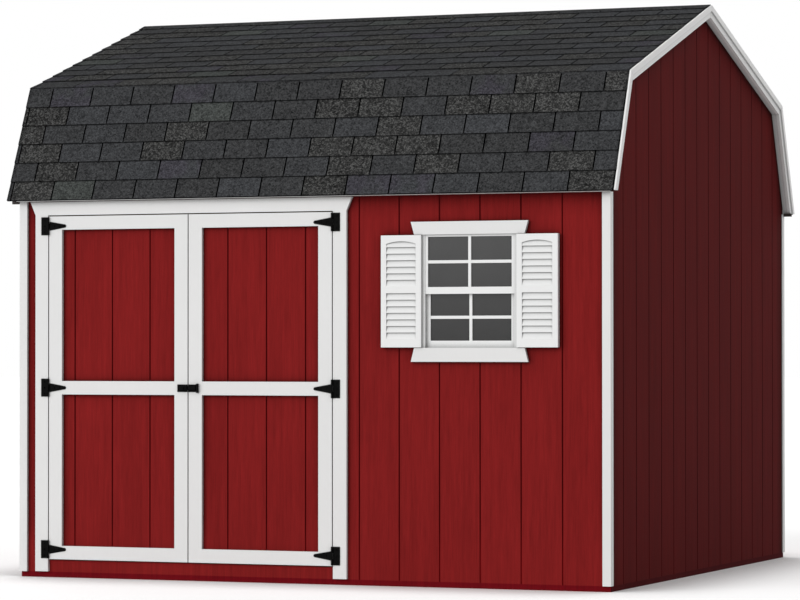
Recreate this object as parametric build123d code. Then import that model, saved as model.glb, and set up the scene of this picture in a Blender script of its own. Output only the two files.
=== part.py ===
from build123d import *
import math
import os

# Barn shed with a gambrel roof, double doors and a shuttered window on one eave wall.
# X runs along the door wall to the right, Y runs to the back, Z is up, and the origin
# is at ground level under the middle of the roof. All sizes are in millimetres.

# Wall shell
wall_length = 3048.0
wall_depth = 3048.0
siding_thickness = 11.0
groove_pitch = 203.2
eave_groove_margin = 31.0
gable_groove_margin = 193.0
groove_width = 7.0
groove_depth = 4.0
groove_edge_margin = 6.0

# Floor and framing timber
base_strip_height = 27.0
joist_height = 64.0
joist_count = 9
floor_deck_thickness = 19.0
stud_width = 38.0
stud_depth = 89.0
plate_height = 38.0
truss_count = 6
gable_stud_count = 6
board_joint = 1.5

# Roof outline, measured to the top of the roof deck
eave_height = 1857.0
eave_overhang = 63.4
knee_setback = 181.6
knee_rise = 563.2
ridge_rise = 420.1
roof_deck_thickness = 12.0
rafter_depth = 89.0
gusset_thickness = 12.0
gusset_arm = 260.0
soffit_thickness = 22.0
shingle_thickness = 10.0
eave_lip = 5.0

# Gable overhang
rake_overhang = 39.5
rake_thickness = 16.0
rake_depth = 49.0
rake_soffit_depth = 34.0
rake_strip_thickness = 8.0
rake_strip_depth = 19.0
rake_strip_lip = 9.0
end_block_height = 16.0

# Trim boards
corner_board_thickness = 16.0
gable_board_thickness = 5.0
corner_board_width = 41.0
trim_thickness = 19.0
trim_bottom = 29.0
jamb_trim_width = 69.5
door_head_flare = 28.0
door_head_gap = 3.0

# Double doors
door_from_left = 153.5
door_opening_width = 1515.5
door_opening_bottom = 84.5
door_head_drop = 74.0
door_gap = 5.5
door_stile_width = 70.0
door_rail_height = 66.0
left_groove_margin = 134.0
right_groove_margin = 143.0
ledge_thickness = 19.0
ledge_height = 64.0
ledge_inset = 34.0

# Strap hinges and latch
hinge_plate_width = 34.0
hinge_plate_height = 88.0
hinge_metal = 2.5
hinge_end_inset = 48.0
knuckle_radius = 5.0
knuckle_length = 28.0
pin_radius = 2.5
running_gap = 0.5
strap_length = 96.0
strap_root_height = 44.0
strap_tip_radius = 7.5
latch_half_width = 53.0
latch_height = 36.0
latch_flange_height = 44.0
latch_flange_width = 9.0
latch_plate = 3.0
latch_body_depth = 9.0
latch_body_height = 20.0
latch_body_width = 40.0
latch_knob_radius = 5.0
latch_knob_length = 8.0

# Window
window_place_share = 0.4735
window_width = 476.0
window_height = 564.4
window_drop = 178.3
window_frame_width = 15.0
window_frame_depth = 60.0
window_frame_proud = 11.0
sash_setback = 2.0
sash_thickness = 16.0
upper_sash_stile = 14.0
upper_sash_rail = 10.5
lower_sash_stile = 21.0
lower_sash_rail = 33.5
meeting_rail_rise = 269.0
meeting_rail_height = 32.6
pane_thickness = 4.0
window_head_height = 61.0
window_sill_height = 66.0
window_trim_margin = 37.5
window_trim_flare = 17.0

# Shutters
shutter_width = 203.0
shutter_thickness = 26.0
shutter_end_gap = 2.0
louvre_width = 149.0
louvre_pitch = 31.0
louvre_depth = 9.0
louvre_count = 7
louvre_bottom_margin = 39.5
louvre_mid_rail = 32.0
louvre_arch_rise = 12.0

# Derived planes
half_length = wall_length / 2
half_depth = wall_depth / 2
inner_length = half_length - siding_thickness
inner_depth = half_depth - siding_thickness
frame_inner_depth = inner_depth - stud_depth
frame_inner_length = inner_length - stud_depth
floor_top = joist_height + floor_deck_thickness
eave_underside = eave_height - eave_lip
plate_top = eave_height + soffit_thickness
plate_bottom = plate_top - plate_height
stud_bottom = floor_top + plate_height
rafter_inner = roof_deck_thickness + rafter_depth
rake_face = half_length + rake_overhang
rake_back = rake_face - rake_thickness
strip_face = rake_face + rake_strip_thickness
front_face = -half_depth
trim_face = front_face - trim_thickness
door_left = -half_length + door_from_left
door_right = door_left + door_opening_width
door_centre = (door_left + door_right) / 2
door_opening_top = eave_height - door_head_drop
leaf_bottom = door_opening_bottom + door_gap
leaf_top = door_opening_top - door_gap
door_mid_height = (leaf_bottom + leaf_top) / 2
jamb_outer_left = door_left - jamb_trim_width
jamb_outer_right = door_right + jamb_trim_width
window_centre = jamb_outer_right + (half_length - jamb_outer_right) * window_place_share
window_left = window_centre - window_width / 2
window_right = window_centre + window_width / 2
window_top = eave_height - window_drop
window_bottom = window_top - window_height
meeting_rail_bottom = window_bottom + meeting_rail_rise
sash_top = window_top - window_frame_width
sash_bottom = window_bottom + window_frame_width
shutter_bottom = sash_bottom + shutter_end_gap
shutter_top = sash_top - shutter_end_gap
ends = (-1, 1)


def block(x_span, y_span, z_span):
    """Box between two limits on each axis, given in either order."""
    limits = [sorted(span) for span in (x_span, y_span, z_span)]
    sizes = [high - low for low, high in limits]
    middle = [(low + high) / 2 for low, high in limits]
    return Pos(*middle) * Box(*sizes)


def prism_x(points, x_span):
    """Polygon of (y, z) points pushed along X."""
    low, high = sorted(x_span)
    outline = Polyline(*[(low, y, z) for y, z in points], close=True)
    return extrude(make_face(outline), high - low, dir=(1, 0, 0))


def prism_y(points, y_span):
    """Polygon of (x, z) points pushed along Y."""
    low, high = sorted(y_span)
    outline = Polyline(*[(x, low, z) for x, z in points], close=True)
    return extrude(make_face(outline), high - low, dir=(0, 1, 0))


# Roof outline of the back half: eave foot, knee and ridge on the deck's top
eave_foot = (half_depth + eave_overhang, eave_height)
knee_point = (half_depth - knee_setback, eave_height + knee_rise)
ridge_point = (0, eave_height + knee_rise + ridge_rise)


def outward(start, stop):
    """Unit normal, to the outside, of a slope that runs up from start to stop."""
    run = start[0] - stop[0]
    rise = stop[1] - start[1]
    length = math.hypot(run, rise)
    return rise / length, run / length


lower_normal = outward(eave_foot, knee_point)
upper_normal = outward(knee_point, ridge_point)
lower_level = lower_normal[0] * eave_foot[0] + lower_normal[1] * eave_foot[1]
upper_level = upper_normal[1] * ridge_point[1]


def lower_y(depth, z):
    """Y of the lower slope at a height, a given depth below the deck's top."""
    return (lower_level - depth - lower_normal[1] * z) / lower_normal[0]


def roof_z(depth, y):
    """Height of the roof over a place on Y, a given depth below the deck's top."""
    lower = (lower_level - depth - lower_normal[0] * abs(y)) / lower_normal[1]
    upper = (upper_level - depth - upper_normal[0] * abs(y)) / upper_normal[1]
    return min(lower, upper)


def knee(depth):
    """Point where the two slopes cross, a given depth below the deck's top."""
    area = lower_normal[0] * upper_normal[1] - lower_normal[1] * upper_normal[0]
    low, high = lower_level - depth, upper_level - depth
    y = (low * upper_normal[1] - lower_normal[1] * high) / area
    z = (lower_normal[0] * high - low * upper_normal[0]) / area
    return y, z


def along_lower(point, distance):
    """Point moved down the lower slope."""
    return point[0] + lower_normal[1] * distance, point[1] - lower_normal[0] * distance


def along_upper(point, distance):
    """Point moved up the upper slope."""
    return point[0] - upper_normal[1] * distance, point[1] + upper_normal[0] * distance


def lower_layer(top, bottom, foot, joint=0):
    """Outline of a layer on the lower slope, cut level at its foot and mitred at the knee."""
    return [
        (lower_y(top, foot), foot),
        along_lower(knee(top), joint / 2),
        along_lower(knee(bottom), joint / 2),
        (lower_y(bottom, foot), foot),
    ]


def upper_layer(top, bottom, joint=0):
    """Outline of a layer on the upper slope, mitred at the knee and plumb at the ridge."""
    return [
        along_upper(knee(top), joint / 2),
        (joint / 2, roof_z(top, joint / 2)),
        (joint / 2, roof_z(bottom, joint / 2)),
        along_upper(knee(bottom), joint / 2),
    ]


def facing(points, end):
    """Outline turned to the front (-1) or kept at the back (1)."""
    return [(end * y, z) for y, z in points]


# Grooved siding
eave_grooves = []
groove = half_length - eave_groove_margin
while groove > -half_length:
    eave_grooves.append(groove)
    groove -= groove_pitch

gable_grooves = []
groove = gable_groove_margin - half_depth
while groove < half_depth - groove_edge_margin - groove_width:
    gable_grooves.append(groove)
    groove += groove_pitch


def eave_panel(x_span, z_span, end, grooves):
    """Sheet of siding on the door wall (-1) or the back wall (1), with its grooves cut."""
    face = end * half_depth
    panel = block(x_span, (face, face - end * siding_thickness), z_span)
    for x in grooves:
        if x_span[0] + groove_edge_margin < x < x_span[1] - groove_edge_margin:
            width = (x - groove_width / 2, x + groove_width / 2)
            panel -= block(width, (face, face - end * groove_depth), z_span)
    return panel


def gable_panel(end):
    """Sheet of siding under the whole roof outline at the left (-1) or the right (1)."""
    corner = (half_depth, roof_z(roof_deck_thickness, half_depth))
    rise = [corner, knee(roof_deck_thickness)]
    ridge = (0, roof_z(roof_deck_thickness, 0))
    outline = [(half_depth, base_strip_height)] + rise + [ridge]
    outline += facing(rise[::-1], -1) + [(-half_depth, base_strip_height)]
    face = end * half_length
    panel = prism_x(outline, (face, face - end * siding_thickness))
    for y in gable_grooves:
        width = (y - groove_width / 2, y + groove_width / 2)
        panel -= block((face, face - end * groove_depth), width, (base_strip_height, ridge[1]))
    return panel


nodes = {}

# Floor frame, floor and the strip that shows below the siding
rim_back = inner_depth - stud_width
joist_run = inner_length - stud_width / 2
joist_places = [joist_run * (2 * i / (joist_count - 1) - 1) for i in range(joist_count)]
nodes["floor_rims"] = [
    block((-inner_length, inner_length), (end * inner_depth, end * rim_back), (0, joist_height))
    for end in ends
]
nodes["floor_joists"] = [
    block((x - stud_width / 2, x + stud_width / 2), (-rim_back, rim_back), (0, joist_height))
    for x in joist_places
]
nodes["floor_deck"] = [
    block((-inner_length, inner_length), (-inner_depth, inner_depth), (joist_height, floor_top))
]
strip_run = inner_depth - board_joint
nodes["base_strips"] = [
    block((-half_length, half_length), (end * half_depth, end * inner_depth), (0, base_strip_height))
    for end in ends
] + [
    block((end * half_length, end * inner_length), (-strip_run, strip_run), (0, base_strip_height))
    for end in ends
]

# Siding
siding_span = (base_strip_height, plate_top)
nodes["front_tall_siding"] = [
    eave_panel(span, siding_span, -1, eave_grooves)
    for span in (
        (-inner_length, door_left),
        (door_right, window_left),
        (window_right, inner_length),
    )
]
nodes["front_infill_siding"] = [
    eave_panel(x_span, z_span, -1, grooves)
    for x_span, z_span, grooves in (
        ((door_left, door_right), (base_strip_height, door_opening_bottom), []),
        ((door_left, door_right), (door_opening_top, plate_top), []),
        ((window_left, window_right), (base_strip_height, window_bottom), eave_grooves),
        ((window_left, window_right), (window_top, plate_top), eave_grooves),
    )
]
nodes["rear_siding"] = [eave_panel((-inner_length, inner_length), siding_span, 1, eave_grooves)]
nodes["left_gable_siding"] = [gable_panel(-1)]
nodes["right_gable_siding"] = [gable_panel(1)]

# Wall framing
front_frame = (-inner_depth, -frame_inner_depth)
rear_frame = (frame_inner_depth, inner_depth)
stud_span = (stud_bottom, plate_bottom)
sole_span = (floor_top, stud_bottom)
corner_stud = inner_length - stud_width / 2
truss_places = [corner_stud * (2 * i / (truss_count - 1) - 1) for i in range(truss_count)]
front_stud_places = [
    -corner_stud,
    door_left - stud_width / 2,
    door_right + stud_width / 2,
    (door_right + window_left) / 2,
    window_left - stud_width / 2,
    window_right + stud_width / 2,
    (window_right + inner_length) / 2,
    corner_stud,
]
for name, places, y_span in (
    ("front_wall_studs", front_stud_places, front_frame),
    ("rear_wall_studs", truss_places, rear_frame),
):
    nodes[name] = [
        block((x - stud_width / 2, x + stud_width / 2), y_span, stud_span) for x in places
    ]

gable_stud_run = frame_inner_depth - stud_width / 2
nodes["gable_wall_studs"] = []
for end in ends:
    for i in range(gable_stud_count):
        middle = gable_stud_run * (2 * i / (gable_stud_count - 1) - 1)
        sides = (middle - stud_width / 2, middle + stud_width / 2)
        outline = [(y, stud_bottom) for y in sides]
        outline += [(y, roof_z(rafter_inner, y)) for y in sides[::-1]]
        stud = prism_x(outline, (end * inner_length, end * frame_inner_length))
        nodes["gable_wall_studs"].append(stud)

nodes["eave_wall_plates"] = [
    block((-inner_length, door_left), front_frame, sole_span),
    block((door_right, inner_length), front_frame, sole_span),
    block((-inner_length, inner_length), rear_frame, sole_span),
    block((-inner_length, inner_length), front_frame, (plate_bottom, plate_top)),
    block((-inner_length, inner_length), rear_frame, (plate_bottom, plate_top)),
]
nodes["gable_sole_plates"] = [
    block(
        (end * inner_length, end * frame_inner_length),
        (-frame_inner_depth, frame_inner_depth),
        sole_span,
    )
    for end in ends
]
nodes["opening_framing"] = [
    block((door_left, door_right), front_frame, (door_opening_top, plate_bottom)),
    block((window_left, window_right), front_frame, (window_top, window_top + plate_height)),
    block((window_left, window_right), front_frame, (window_bottom - plate_height, window_bottom)),
]

# Roof trusses
lower_rafter = lower_layer(roof_deck_thickness, rafter_inner, plate_top)
upper_rafter = upper_layer(roof_deck_thickness, rafter_inner)
truss_spans = [(x - stud_width / 2, x + stud_width / 2) for x in truss_places]
nodes["lower_rafters"] = [
    prism_x(facing(lower_rafter, end), span) for end in ends for span in truss_spans
]
nodes["front_upper_rafters"] = [prism_x(facing(upper_rafter, -1), span) for span in truss_spans]
nodes["rear_upper_rafters"] = [prism_x(upper_rafter, span) for span in truss_spans]

knee_gusset = [
    along_lower(knee(rafter_inner), gusset_arm),
    along_lower(knee(roof_deck_thickness), gusset_arm),
    knee(roof_deck_thickness),
    along_upper(knee(roof_deck_thickness), gusset_arm),
    along_upper(knee(rafter_inner), gusset_arm),
]
ridge_gusset = [
    (gusset_arm, roof_z(rafter_inner, gusset_arm)),
    (gusset_arm, roof_z(roof_deck_thickness, gusset_arm)),
    (0, roof_z(roof_deck_thickness, 0)),
    (-gusset_arm, roof_z(roof_deck_thickness, gusset_arm)),
    (-gusset_arm, roof_z(rafter_inner, gusset_arm)),
]
nodes["truss_gussets"] = []
for low, high in truss_spans[1:-1]:
    span = (high, high + gusset_thickness) if low + high < 0 else (low - gusset_thickness, low)
    for outline in (facing(knee_gusset, -1), knee_gusset, ridge_gusset):
        nodes["truss_gussets"].append(prism_x(outline, span))

# Roof deck and shingle layers
deck_run = (-rake_back, rake_back)
shingle_run = (-strip_face, rake_face)
lower_deck = lower_layer(0, roof_deck_thickness, eave_height)
upper_deck = upper_layer(0, roof_deck_thickness, board_joint)
lower_shingle = lower_layer(-shingle_thickness, 0, eave_height)
upper_shingle = upper_layer(-shingle_thickness, 0)
nodes["lower_roof_decks"] = [prism_x(facing(lower_deck, end), deck_run) for end in ends]
nodes["upper_roof_decks"] = [prism_x(facing(upper_deck, end), deck_run) for end in ends]
nodes["lower_shingles"] = [prism_x(facing(lower_shingle, end), shingle_run) for end in ends]
nodes["front_upper_shingles"] = [prism_x(facing(upper_shingle, -1), shingle_run)]
nodes["rear_upper_shingles"] = [prism_x(upper_shingle, shingle_run)]

# Eave soffits with a lip under the deck's foot, gable overhang and its white rake boards
eave_soffit = [
    (half_depth, eave_underside),
    (lower_y(0, eave_height), eave_underside),
    (lower_y(0, eave_height), eave_height),
    (lower_y(roof_deck_thickness, eave_height), eave_height),
    (lower_y(roof_deck_thickness, plate_top), plate_top),
    (half_depth, plate_top),
]
nodes["eave_soffits"] = [
    prism_x(facing(eave_soffit, end), (-half_length, half_length)) for end in ends
]
rake_outlines = [
    lower_layer(0, rake_depth, eave_height, board_joint),
    upper_layer(0, rake_depth, board_joint),
]
soffit_bottom = roof_deck_thickness + rake_soffit_depth
soffit_outlines = [
    lower_layer(roof_deck_thickness, soffit_bottom, eave_height, board_joint),
    upper_layer(roof_deck_thickness, soffit_bottom, board_joint),
]
# The shingles lie over the left strips and end behind the right ones, which stand up beside them
nodes["rake_boards"] = []
nodes["rake_strips"] = []
nodes["rake_soffits"] = []
for gable, strip_top in ((-1, 0), (1, -rake_strip_lip)):
    board_span = (gable * rake_back, gable * rake_face)
    strip_span = (gable * rake_face, gable * strip_face)
    soffit_span = (gable * half_length, gable * rake_back)
    strip_outlines = [
        lower_layer(strip_top, rake_strip_depth, eave_height, board_joint),
        upper_layer(strip_top, rake_strip_depth, board_joint),
    ]
    for name, outlines, span in (
        ("rake_boards", rake_outlines, board_span),
        ("rake_strips", strip_outlines, strip_span),
        ("rake_soffits", soffit_outlines, soffit_span),
    ):
        nodes[name] += [prism_x(facing(outline, end), span) for end in ends for outline in outlines]

# Corner boards, and the blocks that close two opposite corners of the overhang
corner_face = half_length + gable_board_thickness
eave_board_depth = half_depth + corner_board_thickness
nodes["eave_end_blocks"] = [
    block(
        (gable * corner_face, gable * strip_face),
        (gable * half_depth, gable * eave_board_depth),
        (eave_height - end_block_height, eave_height),
    )
    for gable in ends
]
nodes["eave_corner_boards"] = []
nodes["gable_corner_boards"] = []
for gable in ends:
    for end in ends:
        eave_board = block(
            (gable * corner_face, gable * (corner_face - corner_board_width)),
            (end * half_depth, end * eave_board_depth),
            (base_strip_height, eave_underside),
        )
        gable_board = block(
            (gable * half_length, gable * corner_face),
            (end * half_depth, end * (eave_board_depth - corner_board_width)),
            (base_strip_height, eave_underside),
        )
        nodes["eave_corner_boards"].append(eave_board)
        nodes["gable_corner_boards"].append(gable_board)

# Door surround
trim_span = (trim_face, front_face)
nodes["door_jamb_trims"] = [
    block((jamb_outer_left, door_left), trim_span, (trim_bottom, door_opening_top)),
    block((door_right, jamb_outer_right), trim_span, (trim_bottom, door_opening_top)),
]
door_head_top = eave_underside - door_head_gap
door_head = [
    (jamb_outer_left, door_opening_top),
    (jamb_outer_right, door_opening_top),
    (jamb_outer_right + door_head_flare, door_head_top),
    (jamb_outer_left - door_head_flare, door_head_top),
]
nodes["door_head_trim"] = [prism_y(door_head, trim_span)]

# Doors, with the hinge side given by the end they hang on
hinge_axis_y = trim_face - knuckle_radius - running_gap
hinge_heights = (leaf_bottom + hinge_end_inset, door_mid_height, leaf_top - hinge_end_inset)
rail_bottoms = (leaf_bottom, door_mid_height - door_rail_height / 2, leaf_top - door_rail_height)
ledge_bottoms = (
    leaf_bottom + ledge_inset,
    door_mid_height - ledge_height / 2,
    leaf_top - ledge_inset - ledge_height,
)
metal_span = (trim_face - hinge_metal, trim_face)
nodes["jamb_hinge_leaves"] = []


def upright(x, y, z_span, radius):
    """Round bar standing along Z."""
    low, high = sorted(z_span)
    return Pos(x, y, (low + high) / 2) * Cylinder(radius, high - low)


def jamb_leaf(axis_x, towards_door, z):
    """Hinge plate on the door surround with two knuckles and the pin through them."""
    near = axis_x - towards_door * (knuckle_radius + running_gap)
    far = near - towards_door * hinge_plate_width
    half_height = hinge_plate_height / 2
    leaf = block((near, far), metal_span, (z - half_height, z + half_height))
    for end in ends:
        reach = (z + end * (knuckle_length / 2 + running_gap), z + end * half_height)
        leaf += block((near, axis_x), metal_span, reach)
        leaf += upright(axis_x, hinge_axis_y, reach, knuckle_radius)
    pin = upright(axis_x, hinge_axis_y, (z - half_height, z + half_height), pin_radius)
    return leaf + pin


def door_strap(axis_x, towards_door, z):
    """Tapered hinge strap with a round tip and the middle knuckle, bored for the pin."""
    root = axis_x + towards_door * (knuckle_radius + running_gap)
    tip = axis_x + towards_door * (strap_length - strap_tip_radius)
    half_root = strap_root_height / 2
    outline = [
        (root, z - half_root),
        (tip, z - strap_tip_radius),
        (tip, z + strap_tip_radius),
        (root, z + half_root),
    ]
    reach = (z - knuckle_length / 2, z + knuckle_length / 2)
    strap = prism_y(outline, metal_span)
    middle = (metal_span[0] + metal_span[1]) / 2
    strap += Pos(tip, middle, z) * Rot(90, 0, 0) * Cylinder(strap_tip_radius, hinge_metal)
    strap += block((axis_x, root), metal_span, reach)
    strap += upright(axis_x, hinge_axis_y, reach, knuckle_radius)
    return strap - upright(axis_x, hinge_axis_y, reach, pin_radius + running_gap)


def latch_half(meeting_x, towards_hinge):
    """Half of the latch: a plate with a raised body; the right half ends in a taller flange."""
    far = meeting_x + towards_hinge * latch_half_width
    body_far = meeting_x + towards_hinge * latch_body_width
    half_height = latch_height / 2
    plate_face = trim_face - latch_plate
    body_face = plate_face - latch_body_depth
    heights = (door_mid_height - half_height, door_mid_height + half_height)
    half_body = latch_body_height / 2
    latch = block((meeting_x, far), (plate_face, trim_face), heights)
    latch += block(
        (meeting_x, body_far),
        (body_face, plate_face),
        (door_mid_height - half_body, door_mid_height + half_body),
    )
    if towards_hinge > 0:
        half_flange = latch_flange_height / 2
        latch += block(
            (far, far - latch_flange_width),
            (body_face, trim_face),
            (door_mid_height - half_flange, door_mid_height + half_flange),
        )
    else:
        knob_place = Pos((meeting_x + body_far) / 2, body_face - latch_knob_length / 2, door_mid_height)
        latch += knob_place * Rot(90, 0, 0) * Cylinder(latch_knob_radius, latch_knob_length)
    return latch


for side, jamb_x, towards_door, groove_margin in (
    ("left", door_left, 1, left_groove_margin),
    ("right", door_right, -1, right_groove_margin),
):
    hinge_edge = jamb_x + towards_door * door_gap
    meeting_edge = door_centre - towards_door * door_gap / 2
    axis_x = jamb_x + towards_door * door_gap / 2
    leaf_span = sorted((hinge_edge, meeting_edge))
    leaf_height = (leaf_bottom, leaf_top)
    inner_hinge = hinge_edge + towards_door * door_stile_width
    inner_meeting = meeting_edge - towards_door * door_stile_width
    leaf_grooves = []
    reach = groove_margin
    while reach < abs(inner_meeting - hinge_edge):
        leaf_grooves.append(hinge_edge + towards_door * reach)
        reach += groove_pitch
    nodes[f"{side}_door_panel"] = [eave_panel(leaf_span, leaf_height, -1, leaf_grooves)]
    nodes[f"{side}_door_stiles"] = [
        block((hinge_edge, inner_hinge), trim_span, leaf_height),
        block((inner_meeting, meeting_edge), trim_span, leaf_height),
    ]
    nodes[f"{side}_door_rails"] = [
        block((inner_hinge, inner_meeting), trim_span, (z, z + door_rail_height))
        for z in rail_bottoms
    ]
    ledge_span = (hinge_edge + towards_door * ledge_inset, meeting_edge - towards_door * ledge_inset)
    ledge_depth = (-inner_depth, -inner_depth + ledge_thickness)
    nodes[f"{side}_door_ledges"] = [
        block(ledge_span, ledge_depth, (z, z + ledge_height)) for z in ledge_bottoms
    ]
    nodes[f"{side}_hinge_straps"] = [door_strap(axis_x, towards_door, z) for z in hinge_heights]
    nodes["jamb_hinge_leaves"] += [jamb_leaf(axis_x, towards_door, z) for z in hinge_heights]
    nodes[f"{side}_latch_half"] = [latch_half(meeting_edge, -towards_door)]


def ring(x_span, y_span, z_span, stile, bottom_rail, top_rail):
    """Rectangular frame with an opening right through along Y."""
    opening_x = (x_span[0] + stile, x_span[1] - stile)
    opening_z = (z_span[0] + bottom_rail, z_span[1] - top_rail)
    return block(x_span, y_span, z_span) - block(opening_x, y_span, opening_z)


def pane(x_span, y_span, z_span, stile, bottom_rail, top_rail):
    """Sheet of glass that fills the opening of a frame at the middle of its depth."""
    middle = (y_span[0] + y_span[1]) / 2
    return block(
        (x_span[0] + stile, x_span[1] - stile),
        (middle - pane_thickness / 2, middle + pane_thickness / 2),
        (z_span[0] + bottom_rail, z_span[1] - top_rail),
    )


# Window
window_span = (window_left, window_right)
sash_span = (window_left + window_frame_width, window_right - window_frame_width)
frame_front = front_face - window_frame_proud
upper_plane = frame_front + sash_setback
lower_plane = upper_plane + sash_thickness
lower_back = lower_plane + sash_thickness
upper_sash = (
    sash_span,
    (upper_plane, lower_plane),
    (meeting_rail_bottom, sash_top),
    upper_sash_stile,
    meeting_rail_height,
    upper_sash_rail,
)
lower_sash = (
    sash_span,
    (lower_plane, lower_back),
    (sash_bottom, meeting_rail_bottom + meeting_rail_height),
    lower_sash_stile,
    lower_sash_rail,
    meeting_rail_height,
)
window_frame = ring(
    window_span,
    (front_face, front_face + window_frame_depth),
    (window_bottom, window_top),
    window_frame_width,
    window_frame_width,
    window_frame_width,
)
for stile_span in ((window_left, sash_span[0]), (sash_span[1], window_right)):
    window_frame += block(stile_span, (frame_front, front_face), (sash_bottom, sash_top))
nodes["window_frame"] = [window_frame]
nodes["upper_sash"] = [ring(*upper_sash)]
nodes["lower_sash"] = [ring(*lower_sash)]
nodes["window_panes"] = [pane(*upper_sash), pane(*lower_sash)]

nodes["window_trims"] = []
for near, far in (
    (sash_top, sash_top + window_head_height),
    (sash_bottom, sash_bottom - window_sill_height),
):
    outline = [
        (window_left - window_trim_margin, near),
        (window_right + window_trim_margin, near),
        (window_right + window_trim_margin + window_trim_flare, far),
        (window_left - window_trim_margin - window_trim_flare, far),
    ]
    nodes["window_trims"].append(prism_y(outline, trim_span))

# Shutters with sloped louvres, the upper field closed by an arch
shutter_face = front_face - shutter_thickness


def louvre_cut(centre_x, bottom, top, depth):
    """Wedge that leaves one louvre: no depth at its lower edge, full depth at its upper edge."""
    wedge = [(shutter_face, bottom), (shutter_face + depth, top), (shutter_face, top)]
    return prism_x(wedge, (centre_x - louvre_width / 2, centre_x + louvre_width / 2))


def shutter(x_span):
    """Shutter with two louvred fields around a plain middle rail."""
    centre_x = (x_span[0] + x_span[1]) / 2
    panel = block(x_span, (shutter_face, front_face), (shutter_bottom, shutter_top))
    lower_field = shutter_bottom + louvre_bottom_margin
    upper_field = lower_field + louvre_count * louvre_pitch + louvre_mid_rail
    for i in range(louvre_count):
        z = lower_field + i * louvre_pitch
        panel -= louvre_cut(centre_x, z, z + louvre_pitch, louvre_depth)
    for i in range(louvre_count - 1):
        z = upper_field + i * louvre_pitch
        panel -= louvre_cut(centre_x, z, z + louvre_pitch, louvre_depth)
    spring = upper_field + (louvre_count - 1) * louvre_pitch
    shoulder = spring + louvre_pitch / 2
    crown = shoulder + louvre_arch_rise
    half_width = louvre_width / 2
    arch_radius = (half_width**2 + louvre_arch_rise**2) / (2 * louvre_arch_rise)
    under_arch = Pos(centre_x, (shutter_face + front_face) / 2, crown - arch_radius) * Rot(90, 0, 0)
    under_arch *= Cylinder(arch_radius, shutter_thickness)
    return panel - (louvre_cut(centre_x, spring, crown, louvre_depth) & under_arch)


nodes["shutters"] = [
    shutter((window_left - shutter_width, window_left)),
    shutter((window_right, window_right + shutter_width)),
]

os.makedirs("parts", exist_ok=True)
for name, solids in nodes.items():
    shape = solids[0] if len(solids) == 1 else Compound(children=solids)
    export_step(shape, f"parts/{name}.step")
print(len(nodes), "nodes,", sum(len(solids) for solids in nodes.values()), "solids")
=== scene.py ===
# %% [markdown]
# A barn shed stands on its floor frame: grooved red siding, white trim boards, a gambrel
# roof of asphalt shingles, two strap-hinged doors and a small window between shutters.
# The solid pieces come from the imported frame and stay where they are. This script gives
# them paint, timber grain, metal and glass, and adds what is too fine for the solids.

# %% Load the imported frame
import math

import bmesh
import bpy
from mathutils import Matrix, Vector


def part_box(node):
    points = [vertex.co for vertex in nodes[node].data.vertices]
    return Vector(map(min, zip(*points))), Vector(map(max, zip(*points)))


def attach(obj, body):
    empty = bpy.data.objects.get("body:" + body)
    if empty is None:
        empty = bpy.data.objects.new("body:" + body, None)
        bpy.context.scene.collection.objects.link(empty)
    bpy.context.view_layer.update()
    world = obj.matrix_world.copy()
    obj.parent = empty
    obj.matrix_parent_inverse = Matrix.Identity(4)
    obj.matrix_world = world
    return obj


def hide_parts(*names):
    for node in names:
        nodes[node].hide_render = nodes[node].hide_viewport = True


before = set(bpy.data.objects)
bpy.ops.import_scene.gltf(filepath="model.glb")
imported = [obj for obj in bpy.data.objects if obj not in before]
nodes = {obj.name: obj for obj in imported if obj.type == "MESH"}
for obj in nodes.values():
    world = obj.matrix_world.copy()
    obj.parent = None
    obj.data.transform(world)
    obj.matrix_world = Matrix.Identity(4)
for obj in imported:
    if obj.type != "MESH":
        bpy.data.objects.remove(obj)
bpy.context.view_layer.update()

# %% [markdown]
# The camera looks at the door wall from the right, nearly level, so upright edges stay all
# but parallel. It could be set by eye, but a few hundredths of a degree would show. So its
# place and lens were solved from the grooves, corners, base and ridge, for a picture 800
# pixels wide. The lens is shifted sideways, as the photograph was cropped: LENS_CENTRE is
# the column of pixels that the lens points at.

# %% Camera
CAMERA_PLACE = (6.58546, -17.37066, 1.11486)
CAMERA_YAW = 0.39561
CAMERA_TILT = 0.0142
FOCAL_PIXELS = 3584.2
LENS_CENTRE = 300.0
PICTURE_WIDTH = 800
SENSOR_WIDTH = 36.0
FAR_CLIP = 300.0

camera_data = bpy.data.cameras.new("camera")
camera_data.sensor_width = SENSOR_WIDTH
camera_data.lens = FOCAL_PIXELS / PICTURE_WIDTH * SENSOR_WIDTH
camera_data.shift_x = (PICTURE_WIDTH / 2 - LENS_CENTRE) / PICTURE_WIDTH
camera_data.clip_end = FAR_CLIP
camera = bpy.data.objects.new("camera", camera_data)
camera.location = CAMERA_PLACE
camera.rotation_euler = (math.pi / 2 + CAMERA_TILT, 0, CAMERA_YAW)
bpy.context.scene.collection.objects.link(camera)
bpy.context.scene.camera = camera
print("lens:", round(camera_data.lens, 1), "mm")

# %% [markdown]
# Every node tree below, for a finish or for geometry, could be drawn by hand in the node
# editor. Written as sums it is easier to read and to change. A Wire stands for an output
# socket, and each operator between wires and numbers adds a Math node to the tree.


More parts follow.
